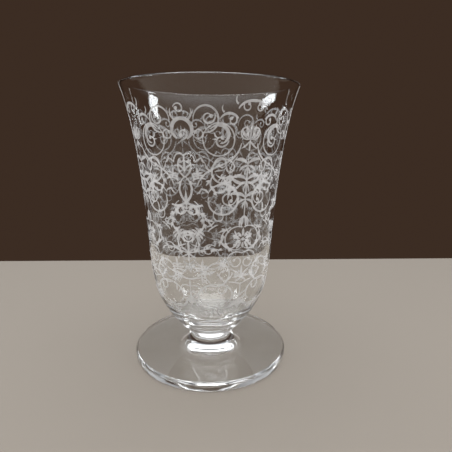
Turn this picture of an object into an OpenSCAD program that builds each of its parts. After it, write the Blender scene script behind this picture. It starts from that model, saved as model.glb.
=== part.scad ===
// Footed wine glass of clear blown crystal: a flared bowl, a short waisted stem and a thick flat foot,
// three separate gathers of glass that are welded hot at two flat joint faces.
// Z is up, the foot stands on Z = 0 and the axis of the glass is the Z axis. Millimetres.

/* [Whole glass] */
// Height from the table to the lip
height = 133; // [125:1:145]
// Diameter across the lip
rim_d = 82; // [78:1:90]

/* [Bowl] */
// Diameter of the bowl half way up the glass, where its wall is straightest
mid_d = 61.3; // [58:0.1:64]
// Diameter of the bowl where the rounded base turns into the wall
base_d = 51.4; // [48:0.1:54]
// Height of that turn above the table
base_h = 32; // [30:0.5:35]
// Wall thickness at the lip
lip_wall = 1.1; // [0.8:0.1:1.6]
// Wall thickness half way up
mid_wall = 1.4; // [1.1:0.1:2]
// Wall thickness at the turn of the base
base_wall = 2; // [1.6:0.1:3]
// Height of the inside of the bowl's floor above the table
floor_h = 16; // [14.5:0.5:19]
// Reach of the flat middle of that floor, measured out from the axis
floor_flat = 12; // [8:0.5:16]

/* [Stem] */
// Diameter of the stem at its waist
waist_d = 19.8; // [16:0.1:22]
// Height of the waist above the table
waist_h = 10.2; // [9.6:0.1:10.8]
// Diameter that the stem spreads to where it meets the foot
flare_d = 35.8; // [30:0.1:40]
// Diameter of the joint between the stem and the bowl
joint_d = 23.0; // [22.6:0.1:24.5]
// Height of that joint above the table
joint_h = 11.8; // [11.6:0.1:12.6]

/* [Foot] */
// Diameter of the foot
foot_d = 78; // [70:1:84]
// Thickness of the foot at its edge
foot_edge = 4.4; // [3.6:0.1:4.6]
// Thickness of the foot under the stem
foot_middle = 4.8; // [4.7:0.1:5.2]
// Radius of the rounding on the foot's upper edge
foot_top_round = 1.5; // [0.8:0.1:2]
// Radius of the rounding on the foot's lower edge
foot_low_round = 0.9; // [0.4:0.1:1.2]

/* [Hidden] */
$fn = 180;

crystal = [0.86, 0.9, 0.9, 0.4];

// Points per curve: wall spans, base spans and the small curves of the stem and of the roundings
wall_steps = 16;
base_steps = 14;
small_steps = 10;
lip_steps = 8;

// Outward lean of the wall, as radius gained per height, at each place where two curves meet
joint_lean = 0.92;
turn_lean = 0.43;
mid_lean = 0.072;
rim_lean = 0.374;

// How far each curve keeps to that lean, above (up) and below (down) the place where it meets the next one
joint_up = 9;
turn_down = 9.3;
turn_up = 11;
mid_down = 9;
mid_up = 28;
rim_down = 14.5;
joint_down = 1.2;
waist_up = 0.6;
waist_down = 2.6;
flare_in = 4.6;
flare_up = 0.5;

function unit(v) = v / norm(v);
function along(lean) = unit([lean, 1]);
function outward(d) = [d.y, -d.x];

// One point and one direction of a cubic curve through four control points
function on_curve(p, t) =
    pow(1 - t, 3) * p[0] + 3 * t * pow(1 - t, 2) * p[1] + 3 * t * t * (1 - t) * p[2] + pow(t, 3) * p[3];
function heading(p, t) =
    unit(pow(1 - t, 2) * (p[1] - p[0]) + 2 * t * (1 - t) * (p[2] - p[1]) + t * t * (p[3] - p[2]));
function curve(p, steps) = [for (i = [0 : steps]) on_curve(p, i / steps)];
function curve_tail(p, steps) = [for (i = [1 : steps]) on_curve(p, i / steps)];
// The same curve moved inwards by a wall that goes from w0 at its start to w1 at its end, from its end back
function inner_wall(p, w0, w1, steps) =
    [for (i = [steps : -1 : 0])
        let (t = i / steps) on_curve(p, t) - (w0 + (w1 - w0) * t) * outward(heading(p, t))];
function arc(centre, r, a0, a1, steps) =
    [for (i = [0 : steps]) let (a = a0 + (a1 - a0) * i / steps) centre + r * [cos(a), sin(a)]];

// Places on the outside of the glass, as [radius, height]
joint_point = [joint_d / 2, joint_h];
turn_point = [base_d / 2, base_h];
mid_point = [mid_d / 2, height / 2];
lip_centre = [rim_d / 2 - lip_wall / 2, height - lip_wall / 2];
rim_point = lip_centre + lip_wall / 2 * outward(along(rim_lean));
waist_point = [waist_d / 2, waist_h];
flare_point = [flare_d / 2, foot_middle];

// The three curves of the bowl's outside, from the joint up to the lip
base_curve = [joint_point,
              joint_point + joint_up * along(joint_lean),
              turn_point - turn_down * along(turn_lean),
              turn_point];
belly_curve = [turn_point,
               turn_point + turn_up * along(turn_lean),
               mid_point - mid_down * along(mid_lean),
               mid_point];
flare_curve = [mid_point,
               mid_point + mid_up * along(mid_lean),
               rim_point - rim_down * along(rim_lean),
               rim_point];

// The inside of the base runs from the wall at the turn in to the middle of the floor
inner_turn = turn_point - base_wall * outward(along(turn_lean));
floor_curve = [inner_turn,
               inner_turn - turn_down * along(turn_lean),
               [floor_flat, floor_h],
               [0, floor_h]];

// The lip is a half round, leaning outwards with the wall
lip_angle = -atan(rim_lean);

bowl_outline = concat(
    [[0, joint_h]],
    curve(base_curve, base_steps),
    curve_tail(belly_curve, base_steps),
    curve_tail(flare_curve, wall_steps),
    arc(lip_centre, lip_wall / 2, lip_angle, lip_angle + 180, lip_steps),
    inner_wall(flare_curve, mid_wall, lip_wall, wall_steps),
    inner_wall(belly_curve, base_wall, mid_wall, base_steps),
    curve_tail(floor_curve, base_steps)
);

// The stem: a small hollow curve under the bowl, then a wide one out on to the foot
upper_waist = [joint_point,
               joint_point - joint_down * along(joint_lean),
               waist_point + [0, waist_up],
               waist_point];
lower_waist = [waist_point,
               waist_point - [0, waist_down],
               flare_point + [-flare_in, flare_up],
               flare_point];
stem_outline = concat(
    [[0, joint_h]],
    curve(upper_waist, small_steps),
    curve_tail(lower_waist, base_steps),
    [[0, foot_middle]]
);

// The foot: flat underneath, a little thicker in the middle, with a rounded edge
foot_r = foot_d / 2;
foot_outline = concat(
    [[0, 0]],
    arc([foot_r - foot_low_round, foot_low_round], foot_low_round, -90, 0, small_steps),
    arc([foot_r - foot_top_round, foot_edge - foot_top_round], foot_top_round, 0, 90, small_steps),
    [flare_point, [0, foot_middle]]
);

module bowl() {
    color(crystal) rotate_extrude() polygon(bowl_outline);
}

module stem() {
    color(crystal) rotate_extrude() polygon(stem_outline);
}

module foot() {
    color(crystal) rotate_extrude() polygon(foot_outline);
}

bowl();
stem();
foot();
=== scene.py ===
# %% [markdown]
# # A footed wine glass
#
# A wine glass of clear crystal, 133 mm tall. A tall bowl flares out to a thin lip, a short waisted stem
# carries it, and a thick round foot stands on the table. The outside of the bowl is acid-etched with
# scrolls, leaves and small flowers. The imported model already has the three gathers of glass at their
# true size: bowl, stem and foot. Here each of them gets a finer surface and a clear material, and the
# bowl gets its etching, as thin raised veils that lie on its outside.

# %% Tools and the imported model
from itertools import cycle
from math import asin, atan2, cos, degrees, pi, radians, sin

import bmesh
import bpy
from mathutils import Matrix, Vector
from mathutils.geometry import interpolate_bezier


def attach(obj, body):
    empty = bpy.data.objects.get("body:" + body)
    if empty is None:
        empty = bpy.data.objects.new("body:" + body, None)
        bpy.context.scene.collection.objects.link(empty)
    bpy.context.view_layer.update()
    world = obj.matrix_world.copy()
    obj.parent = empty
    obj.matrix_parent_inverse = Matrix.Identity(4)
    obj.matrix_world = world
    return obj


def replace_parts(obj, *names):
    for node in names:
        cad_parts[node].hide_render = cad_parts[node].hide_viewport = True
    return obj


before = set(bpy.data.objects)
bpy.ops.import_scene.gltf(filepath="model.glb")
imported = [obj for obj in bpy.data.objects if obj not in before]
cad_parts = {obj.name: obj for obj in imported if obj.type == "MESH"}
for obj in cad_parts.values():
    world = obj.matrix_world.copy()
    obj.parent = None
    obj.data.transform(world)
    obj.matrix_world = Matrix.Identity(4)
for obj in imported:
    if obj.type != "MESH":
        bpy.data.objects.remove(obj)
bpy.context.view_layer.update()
MM = 0.001


# %% [markdown]
# ## The camera
#
# The camera stands a little under the height of the lip and looks slightly down, turned two degrees to
# the right and tilted a little, as a hand holds it. Three rotations in a row say that more plainly than
# a target would. Its place is measured in millimetres from the middle of the foot.

# %% Camera
CAMERA_PLACE = Vector((0, -190.3, 110.2)) * MM
LOOKS_DOWN, TURNED_RIGHT, TILTED = radians(12.915), radians(2.343), radians(0.358)
LENS, SENSOR = 31.06, 36.0
NEAREST, FARTHEST = 0.01, 20

camera_data = bpy.data.cameras.new("camera")
camera_data.lens, camera_data.sensor_width = LENS, SENSOR
camera_data.clip_start, camera_data.clip_end = NEAREST, FARTHEST
camera = bpy.data.objects.new("camera", camera_data)
bpy.context.scene.collection.objects.link(camera)
camera.matrix_world = (
    Matrix.Translation(CAMERA_PLACE)
    @ Matrix.Rotation(-TURNED_RIGHT, 4, "Z")
    @ Matrix.Rotation(pi / 2 - LOOKS_DOWN, 4, "X")
    @ Matrix.Rotation(TILTED, 4, "Z")
)
bpy.context.scene.camera = camera
print("camera is", round(CAMERA_PLACE.length, 3), "m from the middle of the foot")

# %% [markdown]
# ## The table
#
# The glass stands on a plain pale table whose straight back edge shows behind it. One face, made as a
# grid a metre wide and scaled to size, is enough. It lies a fifth of a millimetre under the foot,
# because a real foot touches a table in a few points only: that sliver of air turns the underside of
# the foot into a mirror, and the mirror draws the bright bands round the stem and along the rim of the
# foot.

# %% Table
TABLE_WIDTH, TABLE_FRONT, TABLE_BACK = 0.9, -0.40, 0.152
TABLE_GAP = 0.0002
TABLE_COLOUR, TABLE_ROUGHNESS = (0.175, 0.152, 0.127, 1), 0.7


def link(mesh, name):
    piece = bpy.data.objects.new(name, mesh)
    bpy.context.scene.collection.objects.link(piece)
    return piece


def mesh_of(bm, name):
    mesh = bpy.data.meshes.new(name)
    bm.to_mesh(mesh)
    bm.free()
    return mesh


def principled(name, **values):
    """A new material, with plain values set straight on its shader's sockets."""
    material = bpy.data.materials.new(name)
    material.use_nodes = True
    shader = material.node_tree.nodes["Principled BSDF"]
    for socket, value in values.items():
        shader.inputs[socket.replace("_", " ")].default_value = value
    return material, material.node_tree, shader


bm = bmesh.new()
bmesh.ops.create_grid(bm, x_segments=1, y_segments=1, size=0.5)
bmesh.ops.scale(bm, vec=(TABLE_WIDTH, TABLE_BACK - TABLE_FRONT, 1), verts=bm.verts[:])
bmesh.ops.translate(bm, vec=(0, (TABLE_BACK + TABLE_FRONT) / 2, -TABLE_GAP), verts=bm.verts[:])
table = link(mesh_of(bm, "table"), "table")
table_top, _, _ = principled("table_top", Base_Color=TABLE_COLOUR, Roughness=TABLE_ROUGHNESS)
table.data.materials.append(table_top)
print("table reaches", TABLE_BACK, "m behind the glass")

# %% [markdown]
# ## The room
#
# Clear glass shows nothing of its own, only what it bends and mirrors, so the room is half of the
# picture. Near the horizon it is a plain dark brown, which lets the pale etching stand out. Above about
# 25 degrees it turns into a soft white ceiling. A colour ramp on the height of the looking direction
# makes both. Light goes through many walls and bounces along inside the foot, so the paths are allowed
# to be long; where they are cut short the rim of the foot turns black.

# %% Room
ROOM_DARK, ROOM_LIGHT = (0.045, 0.026, 0.017, 1), (0.95, 1.0, 1.05, 1)
CEILING_STARTS, CEILING_FULL = 0.42, 0.74
MOST_BOUNCES, BOUNCES_IN_GLASS = 32, 24

world = bpy.data.worlds.new("room")
bpy.context.scene.world = world
world.use_nodes = True
sky, links = world.node_tree.nodes, world.node_tree.links
looking = sky.new("ShaderNodeTexCoord")
parts = sky.new("ShaderNodeSeparateXYZ")
ramp = sky.new("ShaderNodeValToRGB")
ramp.color_ramp.interpolation = "EASE"
dark_stop, light_stop = ramp.color_ramp.elements
dark_stop.position, dark_stop.color = CEILING_STARTS, ROOM_DARK
light_stop.position, light_stop.color = CEILING_FULL, ROOM_LIGHT
links.new(looking.outputs["Generated"], parts.inputs["Vector"])
links.new(parts.outputs["Z"], ramp.inputs["Fac"])
links.new(ramp.outputs["Color"], sky["Background"].inputs["Color"])

bpy.context.scene.view_settings.view_transform = "Standard"
tracing = bpy.context.scene.cycles
tracing.caustics_reflective = tracing.caustics_refractive = False
tracing.max_bounces = MOST_BOUNCES
tracing.glossy_bounces = tracing.transmission_bounces = BOUNCES_IN_GLASS
tracing.transparent_max_bounces = BOUNCES_IN_GLASS
print("room turns light above", round(degrees(asin(CEILING_STARTS))), "degrees")

# %% [markdown]
# ## The lamps
#
# A wide soft box overhead draws the bright lines on the lip and on the foot. Two windows, one on each
# side and a little behind the glass, put a white patch on the far wall of the bowl. Two tall strips at
# the back draw its sides; they are hidden from light that comes through glass, or they would be seen
# standing behind the bowl. The fill lamps in front and at the sides only brighten the etching, so they
# are hidden from mirrors too.


# %% Lamps
DAYLIGHT, LAMPS_AIM_AT = (0.92, 0.96, 1), Vector((0, 0, 0.07))
STRIP_SIZE, FILL_SIZE = (0.05, 0.5), (0.4, 0.3)


def soft_box(name, place, size, power, colour=(1, 1, 1)):
    """A rectangular lamp that shines at the bowl. Its size is in metres and its power in watts."""
    light = bpy.data.lights.new(name, "AREA")
    light.shape, light.size, light.size_y = "RECTANGLE", *size
    light.energy, light.color = power, colour
    lamp = bpy.data.objects.new(name, light)
    bpy.context.scene.collection.objects.link(lamp)
    lamp.location = place
    lamp.rotation_euler = (Vector(place) - LAMPS_AIM_AT).to_track_quat("Z", "Y").to_euler()
    lamp.visible_camera = False
    return lamp


soft_box("overhead", (0, 0.05, 0.80), (0.80, 0.70), power=7.0)
soft_box("window_left", (-0.61, 0.20, 0.49), (0.32, 0.11), power=1.0, colour=DAYLIGHT)
soft_box("window_right", (0.63, 0.15, 0.46), (0.17, 0.14), power=0.75, colour=DAYLIGHT)
strips = [
    soft_box("edge_left", (-0.34, 0.80, 0.20), STRIP_SIZE, power=0.10),
    soft_box("edge_right", (0.34, 0.80, 0.20), STRIP_SIZE, power=0.10),
]
fills = [
    soft_box("front", (0, -0.62, 0.50), FILL_SIZE, power=1.4),
    soft_box("side_left", (-0.64, -0.20, 0.30), FILL_SIZE, power=2.2),
    soft_box("side_right", (0.64, -0.20, 0.30), FILL_SIZE, power=2.2),
]
for lamp in strips + fills:
    lamp.visible_transmission = False
for lamp in fills:
    lamp.visible_glossy = False

# %% [markdown]
# ## Uneven hand-made glass
#
# Glass that is blown and turned by hand is never quite even. Its surface swells by less than a tenth of
# a millimetre, and that is what makes reflections waver. The frosted skin of the etching is uneven too,
# only far finer. So the unevenness is a node group with a size of its waves and a stretch: a stretch
# above 1 on the height squeezes the waves together there, and they run round the glass. Detail adds a
# finer wave on top.

# %% Uneven surface, a shader group
uneven = bpy.data.node_groups.new("uneven_glass", "ShaderNodeTree")
uneven.interface.new_socket("Waves", in_out="INPUT", socket_type="NodeSocketFloat")
uneven.interface.new_socket("Stretch", in_out="INPUT", socket_type="NodeSocketVector")
uneven.interface.new_socket("Height", in_out="OUTPUT", socket_type="NodeSocketFloat")
enter, leave = uneven.nodes.new("NodeGroupInput"), uneven.nodes.new("NodeGroupOutput")
place = uneven.nodes.new("ShaderNodeTexCoord")
stretched = uneven.nodes.new("ShaderNodeVectorMath")
stretched.operation = "MULTIPLY"
waves = uneven.nodes.new("ShaderNodeTexNoise")
waves.inputs["Detail"].default_value, waves.inputs["Roughness"].default_value = 1.5, 0.4
uneven.links.new(place.outputs["Object"], stretched.inputs[0])
uneven.links.new(enter.outputs["Stretch"], stretched.inputs[1])
uneven.links.new(stretched.outputs["Vector"], waves.inputs["Vector"])
uneven.links.new(enter.outputs["Waves"], waves.inputs["Scale"])
uneven.links.new(waves.outputs["Fac"], leave.inputs["Height"])
print("group", uneven.name, "with sockets", [s.name for s in uneven.interface.items_tree])

# %% [markdown]
# ## Clear crystal
#
# Crystal bends light a little more than window glass does, with an index of about 1.54, and takes a
# high polish. A Principled shader with full transmission gives both. Real glass hardly dims the lamps
# behind it, but a renderer draws its shadow nearly black, so shadow rays see an almost clear material
# instead: the Light Path node tells them apart. The hidden faces where two gathers are welded together
# are made invisible, because inside one piece of glass there is no surface to see.

# %% Crystal
CRYSTAL_IOR, CRYSTAL_TINT, SHADOW_TINT = 1.54, (0.995, 1.0, 0.998, 1), (0.99, 0.99, 0.99, 1)
EVEN, ALONG_THE_WALL = (1, 1, 1), (1, 1, 2.2)


def uneven_normal(tree, shader, waves, stretch, distance):
    """Feeds the shader's normal with the uneven surface. Distance is the waves' height, in metres."""
    group, bump = tree.nodes.new("ShaderNodeGroup"), tree.nodes.new("ShaderNodeBump")
    group.node_tree = uneven
    group.inputs["Waves"].default_value, group.inputs["Stretch"].default_value = waves, stretch
    bump.inputs["Distance"].default_value = distance
    tree.links.new(group.outputs["Height"], bump.inputs["Height"])
    tree.links.new(bump.outputs["Normal"], shader.inputs["Normal"])


def crystal(name, waves, stretch, distance):
    """Clear glass that lets lamps through."""
    material, tree, shader = principled(
        name, Base_Color=CRYSTAL_TINT, Roughness=0.0, IOR=CRYSTAL_IOR, Transmission_Weight=1.0
    )
    uneven_normal(tree, shader, waves, stretch, distance)
    path, clear = tree.nodes.new("ShaderNodeLightPath"), tree.nodes.new("ShaderNodeBsdfTransparent")
    clear.inputs["Color"].default_value = SHADOW_TINT
    mix = tree.nodes.new("ShaderNodeMixShader")
    tree.links.new(path.outputs["Is Shadow Ray"], mix.inputs["Fac"])
    tree.links.new(shader.outputs["BSDF"], mix.inputs[1])
    tree.links.new(clear.outputs["BSDF"], mix.inputs[2])
    tree.links.new(mix.outputs["Shader"], tree.nodes["Material Output"].inputs["Surface"])
    return material


blown = crystal("blown_crystal", waves=40, stretch=ALONG_THE_WALL, distance=0.00022)
pressed = crystal("pressed_crystal", waves=60, stretch=EVEN, distance=0.00010)
welded, _, _ = principled("welded_joint", Base_Color=(1, 1, 1, 1), Alpha=0.0)
print("materials:", blown.name, pressed.name, welded.name)

# %% [markdown]
# ## The outline of the glass
#
# A glass is turned: its maker holds a shaped block against the spinning bubble. So half of its section
# says everything. It is drawn as a chain of Bezier curves, with the same control points as the packed
# model, and where two curves meet they share one lean, given as radius gained per height. How far each
# curve keeps to that lean is named after the place and the way it goes, up or down. The inside is the
# outside moved in by the wall, which thins from 2 mm at the turn to 1.1 mm at the lip.

# %% Outline of the bowl
LIP_R, LIP_HEIGHT = 41.0, 133.0
WALL_AT_LIP, WALL_HALF_WAY, WALL_AT_TURN = 1.1, 1.4, 2.0
JOINT, TURN, MIDDLE = Vector((11.5, 11.8)), Vector((25.7, 32)), Vector((30.65, 66.5))
JOINT_UP, TURN_DOWN, TURN_UP, MIDDLE_DOWN, MIDDLE_UP, LIP_DOWN = 9.0, 9.3, 11.0, 9.0, 28.0, 14.5
BASE_POINTS, BELLY_POINTS, FLARE_POINTS = 26, 34, 48


def lean(radius_per_height):
    return Vector((radius_per_height, 1)).normalized()


def bezier(a, a_handle, b_handle, b, points):
    return [Vector(p).to_2d() for p in interpolate_bezier(a, a_handle, b_handle, b, points)]


def arc(centre, radius, start, end, points):
    angles = [radians(start + (end - start) * i / (points - 1)) for i in range(points)]
    return [Vector(centre) + radius * Vector((cos(a), sin(a))) for a in angles]


def inner_wall(outer, start, end):
    """The outer line moved in by a wall that changes from start to end, from the far end back."""
    inner = []
    for i, p in enumerate(outer):
        ahead = (outer[min(i + 1, len(outer) - 1)] - outer[max(i - 1, 0)]).normalized()
        wall = start + (end - start) * i / (len(outer) - 1)
        inner.append(p - wall * Vector((ahead.y, -ahead.x)))
    return inner[::-1]


JOINT_LEAN, TURN_LEAN, MIDDLE_LEAN, LIP_LEAN = lean(0.92), lean(0.43), lean(0.072), lean(0.374)
lip_centre = Vector((LIP_R - WALL_AT_LIP / 2, LIP_HEIGHT - WALL_AT_LIP / 2))
lip_point = lip_centre + WALL_AT_LIP / 2 * Vector((LIP_LEAN.y, -LIP_LEAN.x))
base = bezier(JOINT, JOINT + JOINT_UP * JOINT_LEAN, TURN - TURN_DOWN * TURN_LEAN, TURN, BASE_POINTS)
belly = bezier(TURN, TURN + TURN_UP * TURN_LEAN, MIDDLE - MIDDLE_DOWN * MIDDLE_LEAN, MIDDLE, BELLY_POINTS)
flare = bezier(
    MIDDLE, MIDDLE + MIDDLE_UP * MIDDLE_LEAN, lip_point - LIP_DOWN * LIP_LEAN, lip_point, FLARE_POINTS
)
outside = base + belly[1:] + flare[1:]
print("the bowl's outside has", len(outside), "points, from", outside[0], "to", outside[-1])

# %% [markdown]
# ## Spinning an outline
#
# bmesh.ops.spin turns the outline once round the axis, as the maker's bench does. Its ends lie on the
# axis, so every copy of them falls on one point; removing doubles closes both poles. The flat faces at
# the height of a weld get the invisible material and a sharp edge round them, so that smooth shading
# doesn't bleed over.


# %% Spin
AROUND, WELD_FLATNESS = 256, 0.01


def turned(name, outline, node, finish, welds):
    """Spins an outline that starts and ends on the axis. Welds are the heights of its joint faces."""
    bm = bmesh.new()
    points = [bm.verts.new((p.x * MM, 0, p.y * MM)) for p in outline]
    for a, b in zip(points, points[1:]):
        bm.edges.new((a, b))
    bmesh.ops.spin(
        bm, geom=bm.verts[:] + bm.edges[:], cent=(0, 0, 0), axis=(0, 0, 1), dvec=(0, 0, 0), angle=2 * pi,
        steps=AROUND, use_merge=True, use_normal_flip=False, use_duplicate=False
    )
    bmesh.ops.remove_doubles(bm, verts=bm.verts[:], dist=1e-7)
    bmesh.ops.dissolve_degenerate(bm, dist=1e-8, edges=bm.edges[:])
    bmesh.ops.recalc_face_normals(bm, faces=bm.faces[:])
    for f in bm.faces:
        height = f.calc_center_median().z / MM
        f.smooth = True
        f.material_index = int(any(abs(height - weld) < WELD_FLATNESS for weld in welds))
    for e in bm.edges:
        if len({f.material_index for f in e.link_faces}) == 2:
            e.smooth = False
    piece = link(mesh_of(bm, name), name)
    piece.data.materials.append(finish)
    piece.data.materials.append(welded)
    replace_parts(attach(piece, "root"), node)
    print(name, "has", len(piece.data.polygons), "faces")


print("a full turn has", AROUND, "steps of", round(360 / AROUND, 2), "degrees")

# %% [markdown]
# ## The bowl
#
# The bowl is blown, with the blown finish: it is solid at its base, 4 mm thick between the stem and the
# floor inside, and its lip is fire-polished, melted to a small half round. The outline runs from the
# axis up the outside, over the lip and down the inside to the middle of the floor.

# %% Bowl
FLOOR_FLAT, FLOOR_HEIGHT = 12.0, 16.0
LIP_POINTS, FLOOR_POINTS = 13, 30

lip_angle = -degrees(atan2(LIP_LEAN.x, LIP_LEAN.y))
lip = arc(lip_centre, WALL_AT_LIP / 2, lip_angle, lip_angle + 180, LIP_POINTS)
inner_flare = inner_wall(flare, WALL_HALF_WAY, WALL_AT_LIP)
inner_belly = inner_wall(belly, WALL_AT_TURN, WALL_HALF_WAY)
inner_turn = inner_belly[-1]
floor_line = bezier(
    inner_turn, inner_turn - TURN_DOWN * TURN_LEAN,
    Vector((FLOOR_FLAT, FLOOR_HEIGHT)), Vector((0, FLOOR_HEIGHT)), FLOOR_POINTS
)
inside = inner_flare + inner_belly[1:] + floor_line[1:]
bowl_outline = [Vector((0, JOINT.y))] + outside + lip[1:-1] + inside
turned("bowl_glass", bowl_outline, "bowl", blown, welds=[JOINT.y])
print("solid glass under the floor:", round(FLOOR_HEIGHT - JOINT.y, 1), "mm")

# %% [markdown]
# ## The stem
#
# The stem is a short solid neck, pinched to a waist while it was soft and spread over the foot below.
# Two curves meet at the waist, both upright there. The lower one leaves it steeply and lies down flat
# on the foot, which is the shape that gathers the light into one wide white band.

# %% Stem
WAIST, SPREAD = Vector((9.9, 10.2)), Vector((17.9, 4.8))
JOINT_DOWN, WAIST_UP, WAIST_DOWN, SPREAD_IN, SPREAD_UP = 1.2, 0.6, 2.6, 4.6, 0.5
UPPER_POINTS, LOWER_POINTS = 14, 26

upper = bezier(JOINT, JOINT - JOINT_DOWN * JOINT_LEAN, WAIST + Vector((0, WAIST_UP)), WAIST, UPPER_POINTS)
lower = bezier(
    WAIST, WAIST - Vector((0, WAIST_DOWN)), SPREAD + Vector((-SPREAD_IN, SPREAD_UP)), SPREAD, LOWER_POINTS
)
stem_outline = [Vector((0, JOINT.y))] + upper + lower[1:] + [Vector((0, SPREAD.y))]
turned("stem_glass", stem_outline, "stem", pressed, welds=[JOINT.y, SPREAD.y])
print("waist", 2 * WAIST.x, "mm wide at", round(WAIST.y, 1), "mm")

# %% [markdown]
# ## The foot
#
# The foot is a thick disc, a little higher in the middle, pressed between two pads and ground flat
# below. Its upper edge has a fuller rounding than its lower one. Both roundings matter: each draws its
# own bright line round the foot.

# %% Foot
FOOT_R, FOOT_EDGE, ROUND_ABOVE, ROUND_BELOW = 39.0, 4.4, 1.5, 0.9
ABOVE_POINTS, BELOW_POINTS = 14, 12

foot_outline = (
    [Vector((0, 0))]
    + arc((FOOT_R - ROUND_BELOW, ROUND_BELOW), ROUND_BELOW, -90, 0, BELOW_POINTS)
    + arc((FOOT_R - ROUND_ABOVE, FOOT_EDGE - ROUND_ABOVE), ROUND_ABOVE, 0, 90, ABOVE_POINTS)
    + [SPREAD, Vector((0, SPREAD.y))]
)
turned("foot_glass", foot_outline, "foot", pressed, welds=[SPREAD.y])
print("foot", 2 * FOOT_R, "mm across")

# %% [markdown]
# ## The frosted finish
#
# Acid eats the polish off the glass and leaves a frosted skin that scatters light. From its own side it
# looks like a thin white veil. Seen through the glass from behind it is much fainter, which keeps the
# far wall of the bowl from competing with the near one. So the skin is a rough, half see-through white,
# and the Backfacing output decides how much it covers. The acid bites unevenly: fine grain changes the
# colour and the roughness, and slow clouds change the cover.

# %% Frost
GRAIN, CLOUDS, GRAIN_DEPTH = 5200, 260, 0.00002
GRAIN_RANGE, CLOUD_RANGE = (0.3, 0.7), (0.35, 0.65)
GREYS, ROUGHNESSES, COVER_CHANGES = (0.70, 0.86), (0.48, 0.7), (0.82, 1.12)
SLIGHTLY_BLUE = 1.01


def frost(name, facing, behind):
    """Frosted skin. Facing is how much it covers from its own side, behind from the back."""
    material, tree, shader = principled(name, IOR=CRYSTAL_IOR)
    nodes, links = tree.nodes, tree.links
    uneven_normal(tree, shader, GRAIN, EVEN, GRAIN_DEPTH)
    place, side = nodes.new("ShaderNodeTexCoord"), nodes.new("ShaderNodeNewGeometry")
    grain, clouds = nodes.new("ShaderNodeTexNoise"), nodes.new("ShaderNodeTexNoise")
    for noise, size in ((grain, GRAIN), (clouds, CLOUDS)):
        noise.inputs["Scale"].default_value, noise.inputs["Detail"].default_value = size, 2
        links.new(place.outputs["Object"], noise.inputs["Vector"])

    shade = nodes.new("ShaderNodeValToRGB")
    for stop, position, grey in zip(shade.color_ramp.elements, GRAIN_RANGE, GREYS):
        stop.position, stop.color = position, (grey, grey, grey * SLIGHTLY_BLUE, 1)
    links.new(grain.outputs["Fac"], shade.inputs["Fac"])
    links.new(shade.outputs["Color"], shader.inputs["Base Color"])

    def mapped(source, from_range, to_range):
        node = nodes.new("ShaderNodeMapRange")
        node.inputs["From Min"].default_value, node.inputs["From Max"].default_value = from_range
        node.inputs["To Min"].default_value, node.inputs["To Max"].default_value = to_range
        links.new(source, node.inputs["Value"])
        return node.outputs["Result"]

    links.new(mapped(grain.outputs["Fac"], GRAIN_RANGE, ROUGHNESSES), shader.inputs["Roughness"])
    cover = nodes.new("ShaderNodeMath")
    cover.operation = "MULTIPLY"
    links.new(mapped(side.outputs["Backfacing"], (0, 1), (facing, behind)), cover.inputs[0])
    links.new(mapped(clouds.outputs["Fac"], CLOUD_RANGE, COVER_CHANGES), cover.inputs[1])
    links.new(cover.outputs["Value"], shader.inputs["Alpha"])
    return material


frosted = frost("etched_frost", facing=0.6, behind=0.08)
frosted_inside = frost("etched_frost_inside", facing=0.28, behind=0.08)
print("frosts:", frosted.name, frosted_inside.name)

# %% [markdown]
# ## The etching pen
#
# The decorator's lines taper, swell and curl. They could be curves with a bevel, but a flat ribbon is
# lighter and wraps round the bowl without twisting. So the pen is one short edge: it is extruded step
# by step, and each step moves, turns and widens it. A step is 0.8 mm, or less where that would turn it
# more than 17 degrees. A bend is given in degrees per millimetre, at the start and at the end of the
# line, and three widths say how it swells. Every drawing is made flat, in millimetres, x to the right
# and y up. Each stroke lies a hair higher than the last, in fourteen levels, so that crossing strokes
# don't share one plane.

# %% Etching pen
STEP, SHARPEST_TURN, FEWEST_STEPS = 0.8, 17, 4
LEVELS, LEVEL_STEP = 14, 0.0015
level = cycle(range(1, LEVELS + 1))


def ribbon(bm, start, aim, length, bend, end_bend=None, widths=(0.5, 0.5, 0.5)):
    """Draws a line from start towards aim, in degrees. Returns its tip and the way it points there."""
    end_bend = bend if end_bend is None else end_bend
    tip, heading = Vector((*start[:2], next(level) * LEVEL_STEP)), radians(aim)
    sharpest = max(abs(bend), abs(end_bend), 1)
    steps = max(FEWEST_STEPS, round(length / min(STEP, SHARPEST_TURN / sharpest)))
    first, middle, last = widths
    width = first
    across = Vector((-sin(heading), cos(heading), 0)) * width / 2
    edge = bm.edges.new((bm.verts.new(tip - across), bm.verts.new(tip + across)))
    for i in range(steps):
        along = (i + 1) / steps
        turn = radians(bend + (end_bend - bend) * (i + 0.5) / steps) * length / steps
        end = first if along < 0.5 else last
        swell = end + (middle - end) * sin(pi * along)
        moved = tip + Vector((cos(heading + turn / 2), sin(heading + turn / 2), 0)) * length / steps
        grown = bmesh.ops.extrude_edge_only(bm, edges=[edge])["geom"]
        edge = next(g for g in grown if isinstance(g, bmesh.types.BMEdge))
        turned_and_widened = Matrix.Rotation(turn, 4, "Z") @ Matrix.Scale(swell / width, 4)
        carry = Matrix.Translation(moved) @ turned_and_widened @ Matrix.Translation(-tip)
        bmesh.ops.transform(bm, matrix=carry, verts=edge.verts[:])
        tip, heading, width = moved, heading + turn, swell
    return tip, degrees(heading)


test = bmesh.new()
test_tip, _ = ribbon(test, (0, 0), 0, 10, 12, 30)
print("a 10 mm curl ends at", test_tip.to_2d(), "with", len(test.faces), "faces")
test.free()

# %% [markdown]
# ## Strokes of the pen
#
# From that one line come the few strokes that all the ornament is made of. A leaf is a short line that
# swells and ends in a point. A curl winds up and ends in a round knob, which is a small filled circle.


# %% Simple strokes
KNOB_SIDES, LEAF_STALK, LEAF_POINT = 12, 0.3, 0.06


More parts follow.
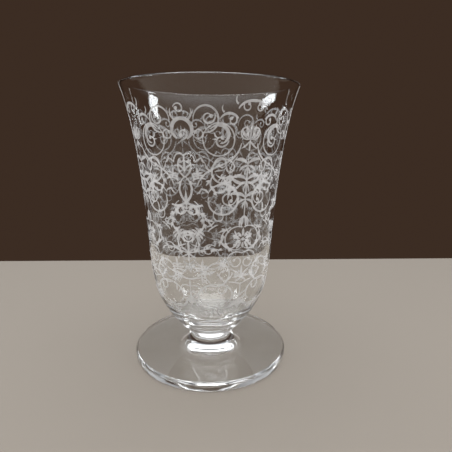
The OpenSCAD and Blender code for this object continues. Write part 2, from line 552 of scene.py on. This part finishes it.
def ball(bm, at, radius):
    place = Matrix.Translation((at[0], at[1], next(level) * LEVEL_STEP))
    bmesh.ops.create_circle(bm, cap_ends=True, segments=KNOB_SIDES, radius=radius, matrix=place)


def leaf(bm, start, aim, length, bend, width):
    ribbon(bm, start, aim, length, bend, widths=(LEAF_STALK, width, LEAF_POINT))


def curl(bm, start, aim, length, bend, end_bend, width, knob):
    tip, _ = ribbon(bm, start, aim, length, bend, end_bend, (width * 0.6, width, width * 0.5))
    ball(bm, tip, knob)


print("a leaf starts", LEAF_STALK, "mm wide and ends", LEAF_POINT, "mm wide")

# %% [markdown]
# ## Leafy strokes
#
# Torn leaves are what makes this etching look rich. A spray is one torn leaf, with pairs of lobes along
# its rib that curl away from it; towards the tip they get shorter and point more forward. A thorny line
# carries small leaves, two at a time, on one side and then the other, as an acanthus stem does. A star
# is a flower, with petals round an open middle. Lengths and widths of lobes and petals are shares of the
# size of the whole.


# %% Leafy strokes
def spray(bm, start, aim, size, lobes, spread, bend):
    """A torn leaf: a middle lobe, and pairs of shorter ones along its rib that curl away from it."""
    leaf(bm, start, aim, size, 0, size * 0.2)
    pairs = lobes // 2
    ahead = Vector((cos(radians(aim)), sin(radians(aim))))
    for i in range(pairs):
        along = i / pairs
        at = Vector(start[:2]) + ahead * size * (0.06 + 0.5 * along)
        outward, lobe = spread - 34 * along, size * (0.66 - 0.26 * along)
        for side in (1, -1):
            leaf(bm, at, aim + side * outward, lobe, side * (bend + 7), size * 0.17)


def thorny(bm, start, aim, length, bend, end_bend, widths, every, lobe):
    """A stem that carries small leaves, every so many millimetres, on one side and the other in turn."""
    count = max(1, int(length / every))
    tip, heading = start, aim
    for i in range(count):
        bends = [bend + (end_bend - bend) * k / count for k in (i, i + 1)]
        thick, thin = [widths[0] + (widths[1] - widths[0]) * k / count for k in (i, i + 1)]
        stretch = length / count
        tip, heading = ribbon(bm, tip, heading, stretch, *bends, (thick, (thick + thin) / 2, thin))
        side = (-1) ** i
        size = lobe * (1 - 0.35 * i / count)
        leaf(bm, tip, heading + 38 * side, size, -9 * side, size * 0.3)
        leaf(bm, tip, heading + 72 * side, size * 0.7, -12 * side, size * 0.26)
    return tip, heading


def star(bm, size, points):
    """A flower: petals round an open middle, long and short in turn."""
    for i in range(points):
        aim = 90 + 360 * i / points
        foot = size * 0.26 * Vector((cos(radians(aim)), sin(radians(aim))))
        petal = size * (0.74 if i % 2 == 0 else 0.5)
        leaf(bm, foot, aim, petal, 0, size * 0.24)


test = bmesh.new()
thorny(test, (0, 0), 0, 15, 5, 10, (0.6, 0.4), 2.5, 3)
print("a 15 mm thorny stem has", len(test.faces), "faces")
test.free()

# %% [markdown]
# ## How the ornament is laid out
#
# The pattern repeats four times round the bowl, and each repeat is mirrored about the upright axis of a
# tall plant. So only half of a quarter is drawn. A motif is a small drawing with a place: its angle in
# degrees from the plant's axis, and its height on the glass in millimetres. One on the plant's axis, at
# 0, or on the border between two repeats, at 45, is drawn once; any other is drawn on both sides.

# %% Motifs
MOTIFS = {}


def motif(piece, angle, height, pair=False):
    """Files a drawing under the piece it belongs to."""
    def keep(draw):
        MOTIFS.setdefault(piece, []).append((angle, height, pair, draw))
        return draw
    return keep


print("a motif knows its piece, its angle, its height and whether it has a mirrored twin")

# %% [markdown]
# ### Rings and crescents under the lip
#
# Open rings, each with a curl inside, hang under the lip like a garland. A horned crescent marks the
# border of each repeat, and a brow with two small curls stands over the plant.


# %% Under the lip
@motif("etched_lip", 31, 120.4, pair=True)
def top_ring(bm):
    ribbon(bm, (3.9, -4.6), 78, 25, 12.0, 11.4, (0.35, 0.8, 0.45))
    curl(bm, (-4.4, -1.5), 255, 12.5, 15, 42, 0.7, 0.75)


@motif("etched_lip", 21.5, 109.3, pair=True)
def wheel(bm):
    ribbon(bm, (6.3, -1), 84, 40, 9.0, 9.2, (0.35, 0.6, 0.5))
    ribbon(bm, (3.4, 3.6), 130, 15, 12, 19, (0.2, 1.5, 0.3))
    curl(bm, (-4.0, -0.6), 285, 10.5, 14, 40, 0.75, 0.8)
    leaf(bm, (0.4, 0.4), 20, 2.6, 28, 0.6)
    leaf(bm, (0.2, 0.2), 330, 2.4, 20, 0.55)


@motif("etched_lip", 45, 113.2)
def crescent(bm):
    for s in (1, -1):
        ribbon(bm, (0, 3.8), 90 - 90 * s, 10.8, -13.5 * s, -14.5 * s, (1.3, 1.5, 0.6))
        ribbon(bm, (2.2 * s, 3.1), 90 - 66 * s, 5.4, 13 * s, 22 * s, (1.1, 0.8, 0.1))
        curl(bm, (4.3 * s, -1.6), 90 - 175 * s, 10.5, 22 * s, 42 * s, 0.6, 0.75)
    curl(bm, (-0.2, -4.2), 0, 8.5, 21, 52, 0.75, 0.85)


@motif("etched_lip", 45, 121.0)
def drop(bm):
    curl(bm, (-2.8, 0.2), 62, 9.2, -22, -52, 0.6, 0.7)


@motif("etched_lip", 5.6, 122.2, pair=True)
def brow(bm):
    ribbon(bm, (-3.8, 1.5), 3, 7.8, -4, -13, (1.1, 0.9, 0.5))
    ribbon(bm, (3.2, 0.2), 24, 3.6, 34, 26, (0.9, 0.6, 0.08))
    curl(bm, (0.4, 0.9), -50, 7.4, -26, -52, 0.6, 0.65)


@motif("etched_lip", 15.0, 118.4, pair=True)
def brow_low(bm):
    ribbon(bm, (3.8, -1.6), 118, 8.6, 15, 12, (0.4, 1.0, 0.6))
    ribbon(bm, (2.3, 0.9), 24, 3.0, 38, 30, (0.9, 0.5, 0.08))
    curl(bm, (-2.2, -0.6), 225, 6.6, 28, 56, 0.6, 0.65)


print(len(MOTIFS["etched_lip"]), "motifs under the lip")

# %% [markdown]
# ### The tall plant
#
# The plant rises on the axis of each repeat, with a lily on top, pairs of curving leaves down its stem
# and hanging lilies beside it. Long S-shaped vines leave its top and join it to the frame.


# %% The plant
@motif("etched_plant", 0, 109.0)
def fan(bm):
    for i in (-2, -1, 0, 1, 2):
        leaf(bm, (0.5 * i, 0.4), 90 - 31 * i, 6.6 - 0.7 * abs(i), 5 * i, 1.0)
    leaf(bm, (0, 0.2), 270, 5.0, 0, 0.9)
    for s in (1, -1):
        leaf(bm, (0.2 * s, -0.6), 90 - 142 * s, 4.6, 6 * s, 0.8)
        curl(bm, (0.5 * s, 0.2), 90 - 100 * s, 12.0, 12 * s, 44 * s, 0.65, 0.7)


@motif("etched_plant", 0, 88.0)
def trunk(bm):
    ribbon(bm, (0, 15.5), 270, 27, 0, 0, (0.4, 0.8, 0.4))
    for y, size in ((11.5, 6.4), (4.8, 7.4), (-2.6, 6.6)):
        for s in (1, -1):
            leaf(bm, (0.2 * s, y), 90 - 40 * s, size, -11 * s, 1.5)
            leaf(bm, (0.2 * s, y - 0.8), 90 - 88 * s, size * 0.7, -15 * s, 1.0)
            leaf(bm, (0.1 * s, y - 1.4), 90 - 140 * s, size * 0.55, -12 * s, 0.8)
    for s in (1, -1):
        leaf(bm, (0.2 * s, -10.5), 90 - 128 * s, 5.8, -12 * s, 1.1)
        leaf(bm, (0.2 * s, -10.8), 90 - 156 * s, 5.4, -6 * s, 0.9)


@motif("etched_plant", 12.5, 89.0, pair=True)
def lily(bm):
    petals = ((266, 10.5, 1.5), (240, 9.0, -8), (292, 8.6, 8), (216, 6.0, -16), (312, 5.6, 16))
    for aim, size, bend in petals:
        leaf(bm, (0.4, 6.0), aim, size, bend, size * 0.15)
    ribbon(bm, (0.4, 5.8), 80, 8.5, 9, 4, (0.5, 0.5, 0.4))
    leaf(bm, (0.5, 7.0), 24, 3.8, 22, 0.8)
    leaf(bm, (0.3, 7.0), 156, 3.6, -22, 0.8)


@motif("etched_plant", 16.5, 98.2, pair=True)
def ring_high(bm):
    ribbon(bm, (-4.2, -2.8), 285, 28, 11.4, 12.0, (0.4, 0.8, 0.45))
    curl(bm, (4.8, 0.8), 95, 12.0, 14, 40, 0.65, 0.7)
    leaf(bm, (4.4, -1.8), 150, 3.4, 14, 0.7)


@motif("etched_plant", 22, 101.2, pair=True)
def long_vine(bm):
    tip, aim = ribbon(bm, (-9.6, 6.4), -82, 12.5, 7.4, 2.4, (0.4, 0.8, 0.65))
    ribbon(bm, tip, aim, 13.0, -1.0, -7.5, (0.65, 0.75, 0.4))
    leaf(bm, (2.6, -4.6), 20, 4.2, 16, 0.8)
    leaf(bm, (5.0, -1.4), 30, 3.4, 16, 0.8)


print(len(MOTIFS["etched_plant"]), "motifs in the plant")

# %% [markdown]
# ### The frame between two plants
#
# A heart over an open ring stands on the border. Larger rings, bramble and tendrils fill the space on
# both sides of it, thick with torn leaves.


# %% The frame
@motif("etched_frame", 45, 99.2)
def heart(bm):
    for s in (1, -1):
        ribbon(bm, (0, -5.0), 90 - 60 * s, 8.6, 9.5 * s, 13 * s, (0.5, 0.85, 0.5))
        curl(bm, (4.5 * s, 0.8), 90 - 2 * s, 10.6, 10 * s, 44 * s, 0.65, 0.7)
        leaf(bm, (4.6 * s, 1.0), 90 - 40 * s, 3.4, -12 * s, 0.6)
        leaf(bm, (0, -2.6), 90 - 30 * s, 4.4, -8 * s, 0.8)
    leaf(bm, (0, -2.8), 90, 5.6, 0, 1.0)


@motif("etched_frame", 45, 86.6)
def open_ring(bm):
    for s in (1, -1):
        ribbon(bm, (0, 7.8), 90 - 126 * s, 19.6, -9.2 * s, -7.2 * s, (0.4, 0.95, 0.7))
        leaf(bm, (3.4 * s, 5.6), 90 - 20 * s, 3.8, 14 * s, 0.8)
        leaf(bm, (4.7 * s, 0.6), 90 - 62 * s, 3.4, 14 * s, 0.7)
        leaf(bm, (0, -5.8), 90 - 42 * s, 5.4, -15 * s, 1.0)
        leaf(bm, (0, -6.4), 90 - 100 * s, 4.2, -14 * s, 0.9)
        curl(bm, (0.2 * s, -6.6), 90 - 150 * s, 10.5, 17 * s, 44 * s, 0.6, 0.7)
    leaf(bm, (0, -6.0), 90, 8.2, 0, 1.1)


@motif("etched_frame", 32.5, 90.5, pair=True)
def bramble(bm):
    tip, aim = thorny(bm, (-4.6, 4.4), 318, 17.5, -12, -21, (0.6, 0.6), 2.2, 2.9)
    spray(bm, tip, aim, 3.4, 5, 80, 10)
    spray(bm, (1.6, 3.0), 82, 4.8, 7, 84, 8)
    leaf(bm, (2.6, 1.0), 350, 3.8, 18, 0.8)


@motif("etched_frame", 27.0, 77.8, pair=True)
def bramble_low(bm):
    thorny(bm, (7.4, 4.4), 214, 19, 3, 17, (0.6, 0.4), 2.3, 2.9)
    curl(bm, (-2.6, 3.2), 320, 11.5, -12, -40, 0.5, 0.65)


@motif("etched_frame", 17.5, 84.6, pair=True)
def ring_low(bm):
    ribbon(bm, (6.2, 3.2), 118, 39, 8.4, 9.4, (0.4, 0.9, 0.5))
    curl(bm, (-6.0, 1.0), 282, 17.0, 12, 34, 0.65, 0.75)
    leaf(bm, (-4.6, -3.6), 20, 4.6, 16, 0.9)
    leaf(bm, (0.4, -5.6), 62, 4.2, 18, 0.8)
    leaf(bm, (6.2, 3.0), 60, 4.0, -16, 0.8)
    spray(bm, (-5.2, 3.4), 40, 4.4, 5, 60, 7)


@motif("etched_frame", 33.5, 81.6, pair=True)
def tendril(bm):
    curl(bm, (3.2, 2.6), 205, 13.0, 12, 38, 0.55, 0.7)
    thorny(bm, (3.4, 0.2), 240, 9.0, -8, 4, (0.5, 0.4), 2.2, 2.6)


print(len(MOTIFS["etched_frame"]), "motifs in the frame")

# %% [markdown]
# ### The upper leafy row
#
# Lower down, where the bowl is narrower, scrolls with torn leaves run round it in two rows. The upper
# one has a flower in a wreath under each plant and a knot of leaves under each heart.


# %% The upper leafy row
@motif("etched_leafy", 30, 63.5, pair=True)
def sprig(bm):
    curl(bm, (-3.6, 1.0), 40, 11.5, -14, -40, 0.55, 0.65)
    spray(bm, (3.4, 0.6), 20, 3.6, 5, 76, 9)
    leaf(bm, (-3.4, 1.2), 110, 2.8, -16, 0.6)


@motif("etched_leafy", 0, 67.0)
def flower(bm):
    star(bm, 5.2, 10)
    ball(bm, (0, 0), 0.8)
    for s in (1, -1):
        ribbon(bm, (0.2 * s, 5.4), 90 - 66 * s, 22, -9.4 * s, -12.6 * s, (0.4, 0.65, 0.35))
        leaf(bm, (6.6 * s, 3.4), 90 - 50 * s, 3.0, 12 * s, 0.7)
        leaf(bm, (7.2 * s, -1.4), 90 - 110 * s, 2.8, 12 * s, 0.7)


@motif("etched_leafy", 21.0, 67.5, pair=True)
def leafy_scroll(bm):
    tip, aim = thorny(bm, (-5.6, 5.2), -14, 20.5, -9, -18.5, (0.6, 0.5), 2.5, 3.2)
    spray(bm, tip, aim, 3.6, 5, 78, 9)
    spray(bm, (2.2, 5.2), 56, 4.2, 5, 76, 9)


@motif("etched_leafy", 37.0, 69.8, pair=True)
def border_spray(bm):
    spray(bm, (0.8, -0.6), 132, 5.8, 7, 86, 8)
    spray(bm, (1.4, -1.4), 20, 4.2, 5, 70, 9)
    curl(bm, (0.8, -0.8), 292, 12.5, 11, 38, 0.55, 0.7)
    ribbon(bm, (0.8, -0.8), 240, 7.5, 5, 9, (0.6, 0.5, 0.3))


@motif("etched_leafy", 45, 61.4)
def knot(bm):
    for s in (1, -1):
        thorny(bm, (0, 0), 90 - 84 * s, 13.5, 5 * s, -10 * s, (0.7, 0.4), 2.5, 2.8)
        leaf(bm, (0, 0), 90 - 40 * s, 4.6, -9 * s, 0.9)
        leaf(bm, (0, 0), 90 - 140 * s, 4.0, 9 * s, 0.8)
    leaf(bm, (0, 0), 90, 5.4, 0, 1.1)
    leaf(bm, (0, 0.5), 270, 4.6, 0, 1.0)


print(len(MOTIFS["etched_leafy"]), "motifs in the upper leafy row")

# %% [markdown]
# ### The lower leafy row
#
# The lower row has no flower. A pendant of leaves hangs under each wreath, and round scrolls with sprays
# of torn leaves fill the rest.


# %% The lower leafy row
@motif("etched_leafy", 0, 53.2)
def pendant(bm):
    for s in (1, -1):
        ribbon(bm, (0, 7.4), 90 - 60 * s, 8.5, -8 * s, -16 * s, (0.4, 0.65, 0.4))
        curl(bm, (5.9 * s, 4.2), 275 - 5 * s, 12.5, -14 * s, -38 * s, 0.55, 0.65)
        leaf(bm, (0, -3.8), 90 - 66 * s, 4.6, -10 * s, 0.9)
        leaf(bm, (0, -3.8), 90 - 32 * s, 5.4, -6 * s, 1.0)
        leaf(bm, (0, -4.2), 90 - 108 * s, 3.8, -9 * s, 0.8)
    leaf(bm, (0, -4.0), 90, 6.2, 0, 1.1)


@motif("etched_leafy", 18.5, 54.3, pair=True)
def lap_scroll(bm):
    ribbon(bm, (6.0, -5.0), 60, 30, 11.6, 9.8, (0.4, 0.75, 0.4))
    thorny(bm, (-5.0, -2.2), 262, 13.5, 17, 27, (0.6, 0.4), 2.2, 2.5)
    spray(bm, (0.4, 1.6), 195, 4.2, 7, 82, 9)
    spray(bm, (5.6, -4.8), 320, 3.6, 5, 70, 9)


@motif("etched_leafy", 36.0, 53.6, pair=True)
def side_spray(bm):
    spray(bm, (-0.8, -0.6), 96, 5.8, 7, 84, 8)
    spray(bm, (-0.8, -1.6), 268, 4.2, 5, 66, 9)
    ribbon(bm, (-0.8, -1.4), 305, 10.0, 9, 6, (0.7, 0.6, 0.3))
    ribbon(bm, (-0.8, -1.4), 196, 6.5, -9, -7, (0.7, 0.6, 0.3))


print(len(MOTIFS["etched_leafy"]), "motifs in both leafy rows")

# %% [markdown]
# ### Ovals round the base
#
# Wide open ovals, tied together by leaves, close the pattern where the bowl turns in to the stem.


# %% Round the base
@motif("etched_base", 22.5, 39.4, pair=True)
def oval(bm):
    for s in (1, -1):
        ribbon(bm, (0, 7.4), 90 - 90 * s, 15.4, -4.0 * s, -17 * s, (0.6, 0.85, 0.6))
        ribbon(bm, (8.7 * s, -0.9), 90 - 186 * s, 13.6, -14 * s, -3.0 * s, (0.6, 1.0, 0.4))
        spray(bm, (0.6 * s, -7.2), 90 - 82 * s, 4.4, 5, 56, 9)
    curl(bm, (-2.2, 7.2), 322, 8.6, -15, -42, 0.6, 0.65)
    leaf(bm, (-4.8, 6.4), 262, 3.6, 8, 0.8)
    leaf(bm, (4.4, 6.6), 282, 3.6, -8, 0.8)
    leaf(bm, (6.4, 5.0), 258, 3.0, -8, 0.7)


@motif("etched_base", 0, 40.8)
def base_leaf(bm):
    for s in (1, -1):
        ribbon(bm, (0, 5.0), 90 - 56 * s, 6.4, -9 * s, 3 * s, (0.5, 0.65, 0.3))
        spray(bm, (0.2 * s, -2.2), 90 - 140 * s, 6.2, 5, 52, 9)
        leaf(bm, (0, -1.0), 90 - 36 * s, 5.0, -10 * s, 0.9)
    ribbon(bm, (0, 6.0), 270, 9.0, 0, 0, (0.4, 0.6, 0.6))
    leaf(bm, (0, -2.0), 270, 6.8, 0, 1.2)


@motif("etched_base", 45, 42.0)
def border_leaf(bm):
    for s in (1, -1):
        curl(bm, (0.2 * s, 3.6), 90 - 58 * s, 10.5, -14 * s, -40 * s, 0.6, 0.7)
        spray(bm, (0.1 * s, -1.4), 90 - 142 * s, 5.4, 5, 56, 9)
    leaf(bm, (0, 3), 270, 11.0, 0, 1.1)
    leaf(bm, (0, 3), 90, 4.0, 0, 1.0)


print(len(MOTIFS["etched_base"]), "motifs round the base")

# %% [markdown]
# ## Wrapping the drawings round the bowl
#
# A drawing is laid on the bowl as a wet transfer would be: its height stays, and its width becomes an
# angle at the radius the bowl has there. It floats four thousandths of a millimetre off the glass, so
# the glass never cuts through it.

# %% Wrap
CLEARANCE = 0.004


def outer_radius(height):
    """Radius of the bowl's outside at a height, read from the outline."""
    above = next(i for i, p in enumerate(outside) if p.y >= height)
    a, b = outside[above - 1], outside[above]
    return a.x + (b.x - a.x) * (height - a.y) / (b.y - a.y)


def wrap(flat, angle, height, side):
    """Lays a flat drawing on the bowl, mirrored when side is -1."""
    for v in flat.verts:
        up = height + v.co.y
        radius = outer_radius(up)
        around = side * (radians(angle) + v.co.x / radius)
        radius += CLEARANCE + v.co.z
        v.co = Vector((radius * sin(around), -radius * cos(around), up)) * MM


print("the bowl's radius half way up is", round(outer_radius(MIDDLE.y), 2), "mm")

# %% [markdown]
# ## The etched pieces
#
# All the motifs of a piece are drawn and wrapped into one mesh, whose faces are turned outwards. Solidify
# gives it a wall of two hundredths of a millimetre. That quarter is then spun into three copies, and the
# whole is turned, so that one plant stands right of the middle of the near side. The faces that look in
# at the glass get the fainter frost.

# %% Etched pieces
SECTORS, PLANT_TURN, DEPTH = 4, 27.0, 0.02


def away_from_axis(face):
    return (face.calc_center_median() * Vector((1, 1, 0))).normalized()


def etched(name, motifs):
    """Draws, wraps and repeats all the motifs of one piece, on both sides where they come in pairs."""
    bm = bmesh.new()
    for angle, height, pair, draw in motifs:
        for side in (1, -1) if pair else (1,):
            flat = bmesh.new()
            draw(flat)
            wrap(flat, angle, height, side)
            scrap = mesh_of(flat, "scrap")
            bm.from_mesh(scrap)
            bpy.data.meshes.remove(scrap)
    bm.normal_update()
    inward = [f for f in bm.faces if f.normal.dot(away_from_axis(f)) < 0]
    bmesh.ops.reverse_faces(bm, faces=inward)
    bmesh.ops.solidify(bm, geom=bm.faces[:], thickness=-DEPTH * MM)
    bmesh.ops.spin(
        bm, geom=bm.verts[:] + bm.edges[:] + bm.faces[:], cent=(0, 0, 0), axis=(0, 0, 1), dvec=(0, 0, 0),
        angle=2 * pi * (SECTORS - 1) / SECTORS, steps=SECTORS - 1,
        use_merge=False, use_normal_flip=False, use_duplicate=True
    )
    plant_turn = Matrix.Rotation(radians(PLANT_TURN), 3, "Z")
    bmesh.ops.rotate(bm, cent=(0, 0, 0), matrix=plant_turn, verts=bm.verts[:])
    bmesh.ops.recalc_face_normals(bm, faces=bm.faces[:])
    for f in bm.faces:
        f.material_index = int(f.normal.dot(away_from_axis(f)) < -0.5)
    piece = link(mesh_of(bm, name), name)
    piece.data.materials.append(frosted)
    piece.data.materials.append(frosted_inside)
    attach(piece, "root")
    print(name, "has", len(piece.data.polygons), "faces")


for name, motifs in MOTIFS.items():
    etched(name, motifs)
